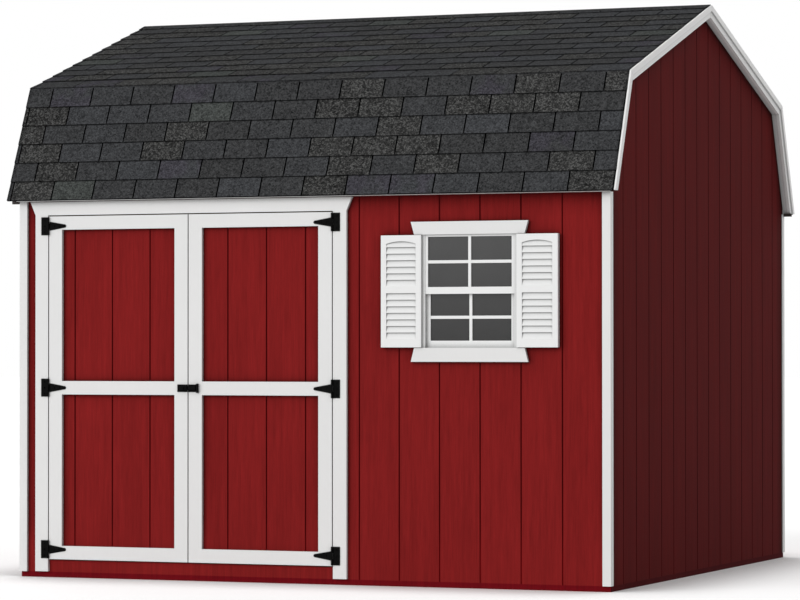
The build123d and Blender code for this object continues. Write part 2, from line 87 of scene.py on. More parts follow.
# %% Wires
class Wire:
    """An output socket that can be used in sums."""

    def __init__(self, net, socket):
        self.net = net
        self.socket = socket

    def __add__(self, other):
        return self.net.sum("ADD", self, other)

    def __radd__(self, other):
        return self.net.sum("ADD", other, self)

    def __sub__(self, other):
        return self.net.sum("SUBTRACT", self, other)

    def __rsub__(self, other):
        return self.net.sum("SUBTRACT", other, self)

    def __mul__(self, other):
        return self.net.sum("MULTIPLY", self, other)

    def __rmul__(self, other):
        return self.net.sum("MULTIPLY", other, self)

    def __truediv__(self, other):
        return self.net.sum("DIVIDE", self, other)

    def __rtruediv__(self, other):
        return self.net.sum("DIVIDE", other, self)

    def __gt__(self, other):
        return self.net.sum("GREATER_THAN", self, other)

    def __lt__(self, other):
        return self.net.sum("LESS_THAN", self, other)


print("wires ready: sums of sockets become Math nodes")

# %% [markdown]
# A Net fills one node tree. Its node method adds any node from its type, its settings,
# which are set first, and the values or wires of its sockets. It gives back a function
# that picks an output. The other methods are short names for the nodes that are used most.


# %% Nets
class Net:
    """A node tree that is filled one call at a time."""

    def __init__(self, tree):
        self.tree = tree

    def node(self, kind, settings=None, sockets=None):
        """Adds a node, its settings first, and gives a function that picks an output."""
        made = self.tree.nodes.new(kind)
        for name, value in (settings or {}).items():
            if name == "stops":
                self.set_stops(made.color_ramp, value)
            else:
                setattr(made, name, value)
        for name, value in (sockets or {}).items():
            self.plug(self.pick(made.inputs, name), value)
        return lambda name=0: Wire(self, self.pick(made.outputs, name))

    @staticmethod
    def set_stops(ramp, stops):
        while len(ramp.elements) < len(stops):
            ramp.elements.new(1.0)
        for element, (place, colour) in zip(ramp.elements, stops):
            element.position = place
            element.color = (*colour, 1.0)

    @staticmethod
    def pick(sockets, name):
        if isinstance(name, int):
            return sockets[name]
        return next(s for s in sockets if s.name == name and s.enabled)

    def plug(self, socket, value):
        if isinstance(value, Wire):
            self.tree.links.new(value.socket, socket)
        else:
            socket.default_value = value

    def sum(self, operation, *values):
        return self.node("ShaderNodeMath", {"operation": operation}, dict(enumerate(values)))()

    def vector(self, x, y, z):
        return self.node("ShaderNodeCombineXYZ", None, {"X": x, "Y": y, "Z": z})()

    def split(self, vector):
        """The three parts of a vector."""
        parts = self.node("ShaderNodeSeparateXYZ", None, {0: vector})
        return parts("X"), parts("Y"), parts("Z")

    def mix(self, share, first, second):
        """Two colours mixed by a share."""
        settings = {"data_type": "RGBA"}
        return self.node("ShaderNodeMix", settings, {0: share, 6: first, 7: second})(2)

    def scaled(self, colour, factor):
        """A colour made lighter or darker by a varying factor."""
        return self.node(
            "ShaderNodeVectorMath", {"operation": "SCALE"}, {"Vector": colour, "Scale": factor}
        )("Vector")

    def noise(self, vector, scale, detail=3.0, roughness=0.55):
        return self.node(
            "ShaderNodeTexNoise",
            None,
            {"Vector": vector, "Scale": scale, "Detail": detail, "Roughness": roughness},
        )("Fac")

    def ramp(self, value, *stops):
        return self.node("ShaderNodeValToRGB", {"stops": stops}, {"Fac": value})("Color")

    def between(self, value, low, high, new_low=0.0, new_high=1.0):
        """A value stretched from one range to another and held inside it."""
        return self.node(
            "ShaderNodeMapRange",
            {"clamp": True},
            {"Value": value, 1: low, 2: high, 3: new_low, 4: new_high},
        )("Result")


print("nets ready: every other node goes through one method")

# %% [markdown]
# A finish is a material with one Principled surface. Its patterns read Object coordinates,
# which stay fixed to the piece when a door turns, and fine relief goes through a Bump node.
# In corners and at the foot of a board a real wall sees less sky. Lamps alone give little
# of that shade, so a helper makes a factor of painted shade for the colour, from the
# Ambient Occlusion node.

# %% Finish helpers
SKY_SAMPLES = 8
OPEN_SKY = 0.97


def finish(name):
    """A new material with an empty Principled surface: its net, shader node and material."""
    material = bpy.data.materials.new(name)
    material.use_nodes = True
    shader = material.node_tree.nodes["Principled BSDF"]
    return Net(material.node_tree), shader, material


def point_of(net):
    """Object coordinates, which stay with the piece."""
    return net.node("ShaderNodeTexCoord")("Object")


def drawn_noise(net, place, stretch, detail=3.0, roughness=0.55):
    """Noise drawn out into grain: the larger a stretch, the finer the change that way."""
    x, y, z = (part * factor for part, factor in zip(place, stretch))
    return net.noise(net.vector(x, y, z), 1.0, detail, roughness)


def raise_grain(net, shader, height, strength, distance):
    """Feeds a height to the shader's Normal through a Bump node."""
    sockets = {"Strength": strength, "Distance": distance, "Height": height}
    net.plug(shader.inputs["Normal"], net.node("ShaderNodeBump", None, sockets)("Normal"))


def painted_corner_shade(net, reach, closed, darkest):
    """Painted shade: a factor that falls from 1 to darkest where a corner or step shuts out
    the sky.
    """
    settings, sockets = {"samples": SKY_SAMPLES}, {"Distance": reach}
    sky_share = net.node("ShaderNodeAmbientOcclusion", settings, sockets)("AO")
    return net.between(sky_share, closed, OPEN_SKY, darkest, 1.0)


def paint(material, names):
    """Gives each CAD node of a list a finish in its material slots."""
    for name in names:
        slots = nodes[name].data.materials
        slots.clear()
        slots.append(material)


print("helpers ready for", len(nodes), "nodes")

# %% [markdown]
# The light is an even sky with three broad, low lamps: a key from the front left, a weak
# fill from the right, which keeps the gable wall readable, and one for the back wall. One
# strong lamp would throw hard shadows; low, wide ones reach in under the eaves, so the door
# head stays clear. To the camera, and in glass and metal, the sky is white. For lighting
# it is dimmer, so that colours render about as they are written.

# %% Sky and lamps
SKY_LIGHT = 0.42
LAMPS = {
    "key": (1.8, math.radians(50), (-0.5, -0.85, 0.3)),
    "fill": (0.4, math.radians(70), (0.88, -0.42, 0.12)),
    "back": (0.9, math.radians(70), (-0.3, 0.9, 0.3)),
}

world = bpy.data.worlds.new("studio")
bpy.context.scene.world = world
world.use_nodes = True
sky = Net(world.node_tree)
ray = sky.node("ShaderNodeLightPath")
seen = sky.sum("MAXIMUM", ray("Is Camera Ray"), ray("Is Glossy Ray"))
seen = sky.sum("MAXIMUM", seen, ray("Is Transmission Ray"))
background = world.node_tree.nodes["Background"]
background.inputs["Color"].default_value = (1, 1, 1, 1)
sky.plug(background.inputs["Strength"], SKY_LIGHT + seen * (1 - SKY_LIGHT))

for name, (strength, spread, source) in LAMPS.items():
    lamp_data = bpy.data.lights.new(name, "SUN")
    lamp_data.energy = strength
    lamp_data.angle = spread
    lamp = bpy.data.objects.new(name, lamp_data)
    lamp.rotation_euler = Vector(source).to_track_quat("Z", "Y").to_euler()
    bpy.context.scene.collection.objects.link(lamp)
bpy.context.scene.view_settings.view_transform = "Standard"
print("studio: sky", SKY_LIGHT, "lamps", ", ".join(LAMPS))

# %% [markdown]
# The floor is one wide, pale sheet that carries the shed's shadow. To the camera it glows a
# little, so that it fades into the white sky with no horizon. The glow is held back close
# to the walls, as a painted shadow from the Ambient Occlusion node, darkest at their foot.

# %% Floor
FLOOR_HALF = 120.0
FLOOR_GLOW = 0.46
FLOOR_PAINTED_SHADOW = (0.58, 0.6, 0.12)
FLOOR_TONES = ((0, [0.88] * 3), (1, [0.9] * 3))

net, shader, floor_finish = finish("studio_floor")
floor_tone = net.ramp(net.noise(point_of(net), 0.6), *FLOOR_TONES)
net.plug(shader.inputs["Base Color"], floor_tone)
shader.inputs["Roughness"].default_value = 1.0
shader.inputs["Specular IOR Level"].default_value = 0.0
camera_ray = net.node("ShaderNodeLightPath")("Is Camera Ray")
# Painted shadow: the camera's glow is dimmed near the walls.
glow = net.scaled((1, 1, 1), camera_ray * painted_corner_shade(net, *FLOOR_PAINTED_SHADOW))
net.plug(shader.inputs["Emission Color"], glow)
shader.inputs["Emission Strength"].default_value = FLOOR_GLOW

floor_mesh = bpy.data.meshes.new("studio_floor")
corners = [(-FLOOR_HALF, -FLOOR_HALF), (FLOOR_HALF, -FLOOR_HALF)]
corners += [(FLOOR_HALF, FLOOR_HALF), (-FLOOR_HALF, FLOOR_HALF)]
floor_mesh.from_pydata([(*corner, 0) for corner in corners], [], [(0, 1, 2, 3)])
floor_mesh.materials.append(floor_finish)
floor = bpy.data.objects.new("studio_floor", floor_mesh)
bpy.context.scene.collection.objects.link(floor)
print("floor:", 2 * FLOOR_HALF, "m wide")

# %% [markdown]
# The siding is pressed-wood sheet with a cedar grain embossed in it, painted barn red.
# Grain runs up the wall, so the noise is squeezed across and drawn out along Z. Broad
# streaks, fine pores and a slow change of tone share one finish. An image of the wall would
# be easier, but it would carry that picture's light with it. Grooves are found by their
# depth behind the sheet's face, and hold painted shade and a purer red; behind its full
# thickness the sheet is bare timber. Painted shade darkens the paint in corners and beside
# steps above the ground, and on the gables towards their front and back corners. The gable
# sheets take a darker copy of the red, as painted shade, and the solid strip at the foot is
# darker on the gables with painted shade too.

# %% Red siding
BARN_RED = (0.212, 0.0125, 0.0125)
# The gable red is a darker copy of the barn red: painted shade for the gable walls.
GABLE_RED_PAINTED_SHADE = (0.0912, 0.0054, 0.0054)
BASE_RED = (0.148, 0.0035, 0.0073)
SHEET_BACK = (0.48, 0.32, 0.18)
STREAKS, PORES, SLOW_TONE = (60, 60, 2.6), (330, 330, 9), (5, 5, 1.2)
PLAIN_PART, STREAK_PART, PORE_PART, SLOW_PART = 0.2, 0.62, 0.68, 0.3
SHEET = 0.011
SHEET_SKIN = (0.0015, 0.0005)
GROOVE_TOP, GROOVE_FLOOR = (0.0003, 0.001), (0.0052, 0.0058)
GROOVE_PAINTED_SHADE = {"X": 0.58, "Y": 0.75}
GROOVE_TINT = (1.0, 0.25, 0.4)
STRIP_SIDE_PAINTED_SHADE = 0.4
SHADE_REACH = 0.12
CORNER_PAINTED_SHADE = {"X": (0.6, 0.25), "Y": (0.52, 0.4)}
CLEAR_OF_GROUND = (0.13, 0.3)
GABLE_EDGE_PAINTED_SHADE = (0.03, 0.13, 0.5, 1.0)
WALL_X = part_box("right_gable_siding")[1].x
WALL_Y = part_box("rear_siding")[1].y


def siding_finish(name, colour, axis, face, sheet=None):
    """Paint on a wall that faces along an axis; a sheet has a bare back, a strip has none."""
    net, shader, material = finish(name)
    x, y, z = net.split(point_of(net))
    streak = drawn_noise(net, (x, y, z), STREAKS, 4.0, 0.65)
    pores = drawn_noise(net, (x, y, z), PORES, 3.0, 0.6)
    slow = drawn_noise(net, (x, y, z), SLOW_TONE, 2.0)
    tone = PLAIN_PART + streak * STREAK_PART + pores * PORE_PART + slow * SLOW_PART
    behind = face - net.sum("ABSOLUTE", x if axis == "X" else y)
    groove = net.between(behind, *GROOVE_TOP) * net.between(behind, *GROOVE_FLOOR, 1.0, 0.0)
    # Painted shade in the grooves, which also take a purer red below.
    tone = tone * (1.0 - groove * (1.0 - GROOVE_PAINTED_SHADE[axis]))
    # Painted shade beside steps and in corners, held off the ground.
    shade = painted_corner_shade(net, SHADE_REACH, *CORNER_PAINTED_SHADE[axis])
    tone = tone * (1.0 - (1.0 - shade) * net.between(z, *CLEAR_OF_GROUND))
    # Painted shade on the gables, darker towards their front and back corners.
    if axis == "X":
        tone = tone * net.between(WALL_Y - net.sum("ABSOLUTE", y), *GABLE_EDGE_PAINTED_SHADE)
    deep = tuple(part * tint for part, tint in zip(colour, GROOVE_TINT))
    red = net.mix(groove, (*colour, 1), (*deep, 1))
    if sheet:
        back = net.scaled(SHEET_BACK, 0.6 + streak * 0.5 + slow * 0.3)
        bare = net.between(behind, *(sheet - skin for skin in SHEET_SKIN))
        red = net.mix(bare, net.scaled(red, tone), back)
    else:
        # Painted shade on the strip's faces along the gables.
        normal = net.node("ShaderNodeNewGeometry")("True Normal")
        side = net.sum("ABSOLUTE", net.split(normal)[0])
        red = net.scaled(red, tone * (1.0 - side * (1.0 - STRIP_SIDE_PAINTED_SHADE)))
    net.plug(shader.inputs["Base Color"], red)
    net.plug(shader.inputs["Roughness"], 0.7 + pores * 0.2)
    shader.inputs["Specular IOR Level"].default_value = 0.04
    raise_grain(net, shader, streak * 0.6 + pores * 0.4, strength=0.35, distance=0.0012)
    return material


front_red = siding_finish("siding_red", BARN_RED, "Y", WALL_Y, SHEET)
gable_red_painted_shade = siding_finish("gable_red_painted_shade", GABLE_RED_PAINTED_SHADE, "X", WALL_X, SHEET)
base_red = siding_finish("base_red", BASE_RED, "Y", WALL_Y)
paint(front_red, ["front_tall_siding", "front_infill_siding", "rear_siding"])
paint(front_red, ["left_door_panel", "right_door_panel"])
paint(gable_red_painted_shade, ["left_gable_siding", "right_gable_siding"])
paint(base_red, ["base_strips"])
print("siding painted; wall planes at", round(WALL_X, 4), round(WALL_Y, 4))

# %% [markdown]
# Trim boards are primed timber under white paint: nearly smooth, with faint brush lines
# and a trace of tone. Window and shutters are moulded plastic, whiter and slicker. A flat
# white would do at a distance, but the joints between white boards would vanish, so painted
# shade darkens the white a little in narrow corners. Rake boards and their soffits take a
# brighter copy of the trim white, as painted light on the gable ends.

# %% White finishes
TRIM_WHITE = (0.765, 0.765, 0.76)
# The rake white is a brighter copy of the trim white: painted light on the gable ends.
RAKE_WHITE_PAINTED_LIGHT = (0.86, 0.855, 0.85)
PLASTIC_WHITE = (0.82, 0.825, 0.82)
BRUSH_LINES = (160, 160, 12)
JOINT_PAINTED_SHADE = (0.03, 0.5, 0.55)


def white_finish(name, colour, roughness, brush):
    """White paint or plastic; brush is the height of its surface lines."""
    net, shader, material = finish(name)
    point = point_of(net)
    lines = drawn_noise(net, net.split(point), BRUSH_LINES)
    slow = net.noise(point, 2.5, 3.0)
    # Painted shade in narrow corners and joints.
    tone = (0.955 + slow * 0.06 + lines * 0.03) * painted_corner_shade(net, *JOINT_PAINTED_SHADE)
    net.plug(shader.inputs["Base Color"], net.scaled(colour, tone))
    net.plug(shader.inputs["Roughness"], roughness + lines * 0.12)
    shader.inputs["Specular IOR Level"].default_value = 0.35
    raise_grain(net, shader, lines, strength=brush, distance=0.0006)
    return material


trim_white = white_finish("trim_white", TRIM_WHITE, roughness=0.45, brush=0.25)
rake_white_painted_light = white_finish("rake_white_painted_light", RAKE_WHITE_PAINTED_LIGHT, roughness=0.45, brush=0.25)
window_white = white_finish("window_white", PLASTIC_WHITE, roughness=0.28, brush=0.06)
shutter_white = white_finish("shutter_white", PLASTIC_WHITE, roughness=0.38, brush=0.12)
paint(trim_white, ["eave_corner_boards", "gable_corner_boards", "eave_soffits"])
paint(trim_white, ["door_jamb_trims", "door_head_trim", "window_trims"])
for side in ("left", "right"):
    paint(trim_white, [f"{side}_door_stiles", f"{side}_door_rails"])
paint(rake_white_painted_light, ["rake_boards", "rake_strips", "rake_soffits"])
paint(window_white, ["window_frame", "upper_sash", "lower_sash"])
paint(shutter_white, ["shutters"])
print("white boards, window and shutters painted")

# %% [markdown]
# A gambrel roof has two slopes on each side, a steep one from eave to knee and a flatter
# one from knee to ridge. Rafters, decks and shingles all follow them. Their angles and
# lengths are measured on the decks' boxes here, instead of being typed in again.

# %% Roof slopes
lower_low, lower_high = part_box("lower_roof_decks")
upper_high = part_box("upper_roof_decks")[1]
EAVE_Y, EAVE_Z = lower_high.y, lower_low.z
KNEE_Y, KNEE_Z = upper_high.y, lower_high.z
RIDGE_Z = upper_high.z
LOWER_ANGLE = math.atan2(KNEE_Z - EAVE_Z, EAVE_Y - KNEE_Y)
UPPER_ANGLE = math.atan2(RIDGE_Z - KNEE_Z, KNEE_Y)
LOWER_SLOPE = math.hypot(KNEE_Z - EAVE_Z, EAVE_Y - KNEE_Y)
UPPER_SLOPE = math.hypot(RIDGE_Z - KNEE_Z, KNEE_Y)
print("roof slopes:", round(math.degrees(LOWER_ANGLE), 1), round(math.degrees(UPPER_ANGLE), 1))

# %% [markdown]
# Indoors the frame is bare pine, which shows when the doors are open. One wood pattern for
# all would run across half of the pieces, so each finish has its grain along the piece: a
# stud's runs up, a plate's along the wall, a rafter's up its slope. Growth rings are bands
# in a distorted distance across the grain.

# %% Framing timber
PINE_LIGHT = (0.58, 0.40, 0.22)
PINE_DARK = (0.36, 0.21, 0.095)
WANDER, FIBRE = (1.5, 9, 9), (9, 320, 320)
RINGS, RING_LEAN, RING_WANDER, RING_DRIFT = 420, 0.7, 22, 1.2


def pine_finish(name, along):
    """Bare pine; along gives, from x, y and z, the values with and across the grain."""
    net, shader, material = finish(name)
    length, across, depth = along(net, *net.split(point_of(net)))
    wander = drawn_noise(net, (length, across, depth), WANDER, 2.0)
    bands = (across + depth * RING_LEAN) * RINGS + wander * RING_WANDER + length * RING_DRIFT
    rings = net.sum("SINE", bands)
    fibre = drawn_noise(net, (length, across, depth), FIBRE, 2.0)
    share = net.between(rings * 0.28 + fibre * 0.9, 0.1, 0.95)
    net.plug(shader.inputs["Base Color"], net.mix(share, (*PINE_DARK, 1), (*PINE_LIGHT, 1)))
    net.plug(shader.inputs["Roughness"], 0.7 + fibre * 0.2)
    raise_grain(net, shader, fibre, strength=0.3, distance=0.0008)
    return material


def up_slope(angle):
    """Grain along a roof slope, the same at the front and the back."""

    def along(net, x, y, z):
        out = net.sum("ABSOLUTE", y)
        length = z * math.sin(angle) - out * math.cos(angle)
        return length, x, z * math.cos(angle) + out * math.sin(angle)

    return along


upright_pine = pine_finish("upright_pine", lambda net, x, y, z: (z, x, y))
long_pine = pine_finish("long_pine", lambda net, x, y, z: (x, y, z))
deep_pine = pine_finish("deep_pine", lambda net, x, y, z: (y, x, z))
lower_pine = pine_finish("lower_rafter_pine", up_slope(LOWER_ANGLE))
upper_pine = pine_finish("upper_rafter_pine", up_slope(UPPER_ANGLE))
paint(upright_pine, ["front_wall_studs", "rear_wall_studs", "gable_wall_studs"])
paint(long_pine, ["floor_rims", "eave_wall_plates", "opening_framing"])
paint(long_pine, ["left_door_ledges", "right_door_ledges"])
paint(deep_pine, ["floor_joists", "gable_sole_plates"])
paint(lower_pine, ["lower_rafters"])
paint(upper_pine, ["front_upper_rafters", "rear_upper_rafters"])
print("framing timber finished, with the grain along each piece")

# %% [markdown]
# Floor, roof deck and gussets are pressed flake board: short strands of many directions.
# Plain noise looks like cloud, not like strands. Voronoi cells give each strand its own
# tone, in two layers turned against each other.

# %% Flake board
STRAND_LAYERS = ((0.5, (46, 16, 30)), (2.0, (15, 44, 34)))
FLAKE_TONES = (
    (0.05, (0.30, 0.18, 0.08)),
    (0.55, (0.52, 0.36, 0.18)),
    (1, (0.68, 0.52, 0.31)),
)


def cell_draw(net, vector, scale):
    """A random value for each cell of a Voronoi texture."""
    cells = net.node("ShaderNodeTexVoronoi", None, {"Vector": vector, "Scale": scale})
    return net.node("ShaderNodeSeparateColor", None, {0: cells("Color")})("Red")


net, shader, flake_board = finish("flake_board")
point = point_of(net)
warp = net.noise(point, 14.0, 2.0)
strands = []
for turn, stretch in STRAND_LAYERS:
    sockets = {"Vector": point, 2: (0.2, 0.3, turn), 3: stretch}
    turned = net.node("ShaderNodeMapping", None, sockets)()
    strands.append(cell_draw(net, turned, 1.0))
tone = strands[0] * 0.55 + strands[1] * 0.35 + warp * 0.15
net.plug(shader.inputs["Base Color"], net.ramp(tone, *FLAKE_TONES))
net.plug(shader.inputs["Roughness"], 0.65 + strands[0] * 0.2)
raise_grain(net, shader, tone, strength=0.3, distance=0.001)
paint(flake_board, ["floor_deck", "lower_roof_decks", "upper_roof_decks", "truss_gussets"])
print("flake board:", len(strands), "layers of strands")

# %% [markdown]
# The small blocks at the eave ends are timber coloured nearly black. They are only a few
# pixels in the photograph, but from close by a flat black would look like a hole, so their
# grain shows faintly.

# %% Dark blocks
NEAR_BLACK_FIBRE = (40, 300, 300)
NEAR_BLACK_TONES = ((0.2, (0.012, 0.009, 0.008)), (0.9, (0.05, 0.036, 0.03)))

net, shader, near_black_blocks = finish("near_black_blocks")
fibre = drawn_noise(net, net.split(point_of(net)), NEAR_BLACK_FIBRE)
net.plug(shader.inputs["Base Color"], net.ramp(fibre, *NEAR_BLACK_TONES))
net.plug(shader.inputs["Roughness"], 0.6 + fibre * 0.3)
raise_grain(net, shader, fibre, strength=0.3, distance=0.0008)
paint(near_black_blocks, ["eave_end_blocks"])
print("dark blocks stained")

# %% [markdown]
# Hinges and latch are steel under black powder coat, with its fine pebble and a slight
# gloss. It is paint, so it is no metal to the shader. Window glass is dark from outside,
# because the room behind it is unlit. Clear glass would need a dark room to look right, so
# the pane is mostly grey, as painted shade for that room, with a little see-through, and
# painted light makes it paler towards its top.

# %% Black metal and glass
METAL_TONES = ((0.35, [0.0025] * 3), (0.8, [0.006] * 3))
PANE_SHADE_AND_LIGHT_TONES = ((0.1, [0.032] * 3), (0.9, [0.07] * 3))

net, shader, black_metal = finish("black_metal")
point = point_of(net)
pebble = net.noise(point, 900.0, 2.0)
rub = net.noise(point, 35.0, 4.0)
net.plug(shader.inputs["Base Color"], net.ramp(rub, *METAL_TONES))
net.plug(shader.inputs["Roughness"], 0.5 + pebble * 0.22)
shader.inputs["Specular IOR Level"].default_value = 0.03
raise_grain(net, shader, pebble, strength=0.25, distance=0.0004)
paint(black_metal, ["jamb_hinge_leaves", "left_hinge_straps", "right_hinge_straps"])
paint(black_metal, ["left_latch_half", "right_latch_half"])

net, shader, pane_glass = finish("pane_glass")
point = point_of(net)
haze = net.noise(point, 5.0, 3.0)
pane_low, pane_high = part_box("window_panes")
# The grey is painted shade for the unlit room; painted light makes it paler at the top.
height = net.between(net.split(point)[2], pane_low.z, pane_high.z)
pane_painted_shade_and_light = net.ramp(haze * 0.3 + height * 0.7, *PANE_SHADE_AND_LIGHT_TONES)
net.plug(shader.inputs["Base Color"], pane_painted_shade_and_light)
net.plug(shader.inputs["Roughness"], 0.04 + haze * 0.05)
net.plug(shader.inputs["Alpha"], 0.94 + haze * 0.04)
shader.inputs["Specular IOR Level"].default_value = 0.1
paint(pane_glass, ["window_panes"])
print("metal and glass finished; panes", round(pane_high.z - pane_low.z, 3), "m high")

# %% [markdown]
# The rest of the script adds pieces. What repeats is made by Geometry Nodes trees, because
# one change of a number then changes every copy. A tree has named inputs for its sizes. It
# ends in Realize Instances and Set Material, so that the result is a plain mesh with its
# finish. Values can be stored on it under a name for the finish to read.


# %% Geometry tree helpers
def new_tree(name, inputs):
    """An empty geometry tree with named inputs and one geometry output."""
    tree = bpy.data.node_groups.new(name, "GeometryNodeTree")
    for socket, kind in inputs.items():
        tree.interface.new_socket(socket, in_out="INPUT", socket_type="NodeSocket" + kind)
    tree.interface.new_socket("Geometry", in_out="OUTPUT", socket_type="NodeSocketGeometry")
    return tree


def stored(net, geometry, name, value, domain="POINT"):
    """Geometry with a value kept on it under a name."""
    return net.node(
        "GeometryNodeStoreNamedAttribute",
        {"data_type": "FLOAT", "domain": domain},
        {"Geometry": geometry, "Name": name, "Value": value},
    )()


def random_draw(net, low, high, seed):
    """A random value for each point, the same on each run."""
    settings = {"data_type": "FLOAT"}
    return net.node("FunctionNodeRandomValue", settings, {2: low, 3: high, "Seed": seed})(1)


def together(net, parts):
    """Several geometries as one."""
    join = net.node("GeometryNodeJoinGeometry")()
    for part in parts:
        net.plug(join.socket.node.inputs[0], part)
    return join


def end_tree(net, geometry, material):
    """Makes instances real, sets their material and ends the tree."""
    real = net.node("GeometryNodeRealizeInstances", None, {0: geometry})()
    sockets = {"Geometry": real, "Material": material}
    done = net.node("GeometryNodeSetMaterial", None, sockets)()
    net.node("NodeGroupOutput", None, {"Geometry": done})


print("geometry tree helpers ready")

# %% [markdown]
# The roof is strip shingle cut into tabs. Each course laps the one below it and its slots
# fall half a tab along. A bump pattern could draw the lines, but the stepped edge of the
# roof would stay straight, so each tab is a thin slab. A point is worked out for each tab
# from its number, with its two ends held inside the roof.

# %% Shingle tabs
COURSE_INPUTS = {
    "Run": 3.135,
    "Slope": 0.614,
    "Exposure": 0.103,
    "Start": 0.0,
    "Drip": 0.004,
    "Lap": 0.15,
    "Pitch": 0.2222,
    "Slot": 0.0075,
    "Phase": 0.0129,
    "Thickness": 0.004,
    "Felt": 0.0025,
    "Cap": 0.0,
    "Edge": 1.0,
    "Soft": 0.0,
}
COURSE_COUNTS = {"Courses": 6, "Columns": 18, "Seed": 3}
TAB_VERTICES = {"Vertices X": 5, "Vertices Y": 3, "Vertices Z": 2}


def slab(net, size, place):
    """A plain sheet of a given size around a place."""
    cube = net.node("GeometryNodeMeshCube", None, {"Size": size})("Mesh")
    return net.node("GeometryNodeTransform", None, {"Geometry": cube, "Translation": place})()


def tab_slab(net):
    """A unit tab that knows the place along it and which of its faces are cut edges."""
    tab = net.node("GeometryNodeMeshCube", None, {"Size": (1, 1, 1), **TAB_VERTICES})("Mesh")
    place = net.split(net.node("GeometryNodeInputPosition")())
    tab = stored(net, tab, "along", place[1] + 0.5)
    normal = net.split(net.node("GeometryNodeInputNormal")())
    return stored(net, tab, "cut", normal[2] < 0.5, "FACE")


def tab_layout(net, size):
    """Each tab's row, its two ends along the run, and its butt and head up the slope."""
    index = net.node("GeometryNodeInputIndex")()
    row = net.sum("FLOOR", (index + 0.5) / size("Columns"))
    column = index - row * size("Columns")
    shift = net.sum("MODULO", row, 2.0) * size("Pitch") / 2
    left = size("Phase") + shift + (column - size("Columns") / 2) * size("Pitch")
    half = size("Run") / 2
    ends = []
    for edge in (left, left + size("Pitch") - size("Slot")):
        held = net.sum("MAXIMUM", edge, half * -1)
        ends.append(net.sum("MINIMUM", held, half))
    early = (row < 0.5) * (size("Start") + size("Drip"))
    butt = row * size("Exposure") + size("Start") - early
    head = butt + early + size("Exposure") * (size("Lap") + 1)
    return row, ends, butt, net.sum("MINIMUM", head, size("Slope"))


print("tabs:", COURSE_INPUTS["Pitch"], "m apart")

# %% [markdown]
# One tree lays a slope flat. It scales a slab to each tab and tips it, so that its butt
# rests on the course below, and lets each settle a little out of line, as on a real roof.
# Under the tabs lie the felt and a starter strip, and at the ridge a cap. Two random draws
# for each tab, how dark its edges are and whether a course lies above it are stored for
# the finish. Soft gives felt and starter the colour of granules, for a slope that begins
# at the knee instead of at an eave.

# %% Shingle course tree
LEAST_TAB = 0.012
SETTLE, SETTLE_TILT, SETTLE_TURN = 0.0012, 3, 1.5
CAP_PAST_RIDGE, CAP_RISE = 0.003, 1.75
SOFT_DRAWS, CAP_DRAWS = {"shade": 0.5, "kind": 0.2}, {"shade": 0.2, "kind": 0.1}


def laid_tabs(net, size):
    """The tabs of a slope, with their values stored."""
    row, ends, butt, head = tab_layout(net, size)
    width, length = ends[1] - ends[0], head - butt
    tip = size("Thickness") / size("Exposure")
    rise = size("Felt") + size("Thickness") * (size("Lap") + 1.5) - tip * length / 2
    middle = net.vector((ends[0] + ends[1]) / 2, (butt + head) / 2, rise)
    sockets = {"Count": size("Courses") * size("Columns"), "Position": middle}
    points = net.node("GeometryNodePoints", None, sockets)()
    firm = 1.0 - (row < 0.5) * size("Soft")
    points = stored(net, points, "edge", size("Edge") * firm)
    # under marks a tab with a course above it, for a painted shadow as strong as its edges.
    points = stored(net, points, "under", size("Edge") * (row < size("Courses") - 1.5))
    for step, name in enumerate(("shade", "kind"), 1):
        points = stored(net, points, name, random_draw(net, 0.0, 1.0, size("Seed") + step))
    settle = random_draw(net, -SETTLE, SETTLE, size("Seed"))
    sockets = {
        "Points": points,
        "Selection": width > LEAST_TAB,
        "Instance": tab_slab(net),
        "Rotation": net.vector(tip * -1 + settle * SETTLE_TILT, 0.0, settle * SETTLE_TURN),
        "Scale": net.vector(width, length, size("Thickness")),
    }
    return net.node("GeometryNodeInstanceOnPoints", None, sockets)()


def course_tree():
    """Node group that lays one slope's courses in the XY plane, butts towards -Y."""
    inputs = {**dict.fromkeys(COURSE_INPUTS, "Float"), **dict.fromkeys(COURSE_COUNTS, "Int")}
    net = Net(new_tree("shingle_courses", {**inputs, "Finish": "Material"}))
    size = net.node("NodeGroupInput")
    run, slope, drip = size("Run"), size("Slope"), size("Drip")
    thickness, felt, exposure = size("Thickness"), size("Felt"), size("Exposure")
    placed = laid_tabs(net, size)
    felt_place = net.vector(0.0, (slope - drip) / 2, felt / 2)
    underlay = slab(net, net.vector(run, slope + drip, felt), felt_place)
    starter_place = net.vector(0.0, exposure / 2 - drip, felt + thickness / 2)
    starter = slab(net, net.vector(run, exposure, thickness), starter_place)
    cap_middle = slope - size("Cap") / 2 + CAP_PAST_RIDGE
    cap_place = net.vector(0.0, cap_middle, felt + thickness * CAP_RISE)
    cap = slab(net, net.vector(run, size("Cap"), thickness), cap_place)
    for name in ("shade", "kind"):
        underlay = stored(net, underlay, name, size("Soft") * SOFT_DRAWS[name])
        starter = stored(net, starter, name, size("Soft") * SOFT_DRAWS[name])
        cap = stored(net, cap, name, CAP_DRAWS[name])
    end_tree(net, together(net, (cap, starter, underlay, placed)), size("Finish"))
    return net.tree


shingle_tree = course_tree()
print("course tree:", len(shingle_tree.nodes), "nodes")

# %% [markdown]
# Ceramic granules are the colour of each tab: charcoal on most, a speckled blend with pale
# grains on about a quarter, a violet cast on some and a pale one here and there. The
# stored draws choose the blend and two sizes of cells make the grains. Cut edges and the
# felt in the slots are black asphalt. A painted shadow darkens the step under each butt,
# and painted shade darkens the tabs near the rake edges.

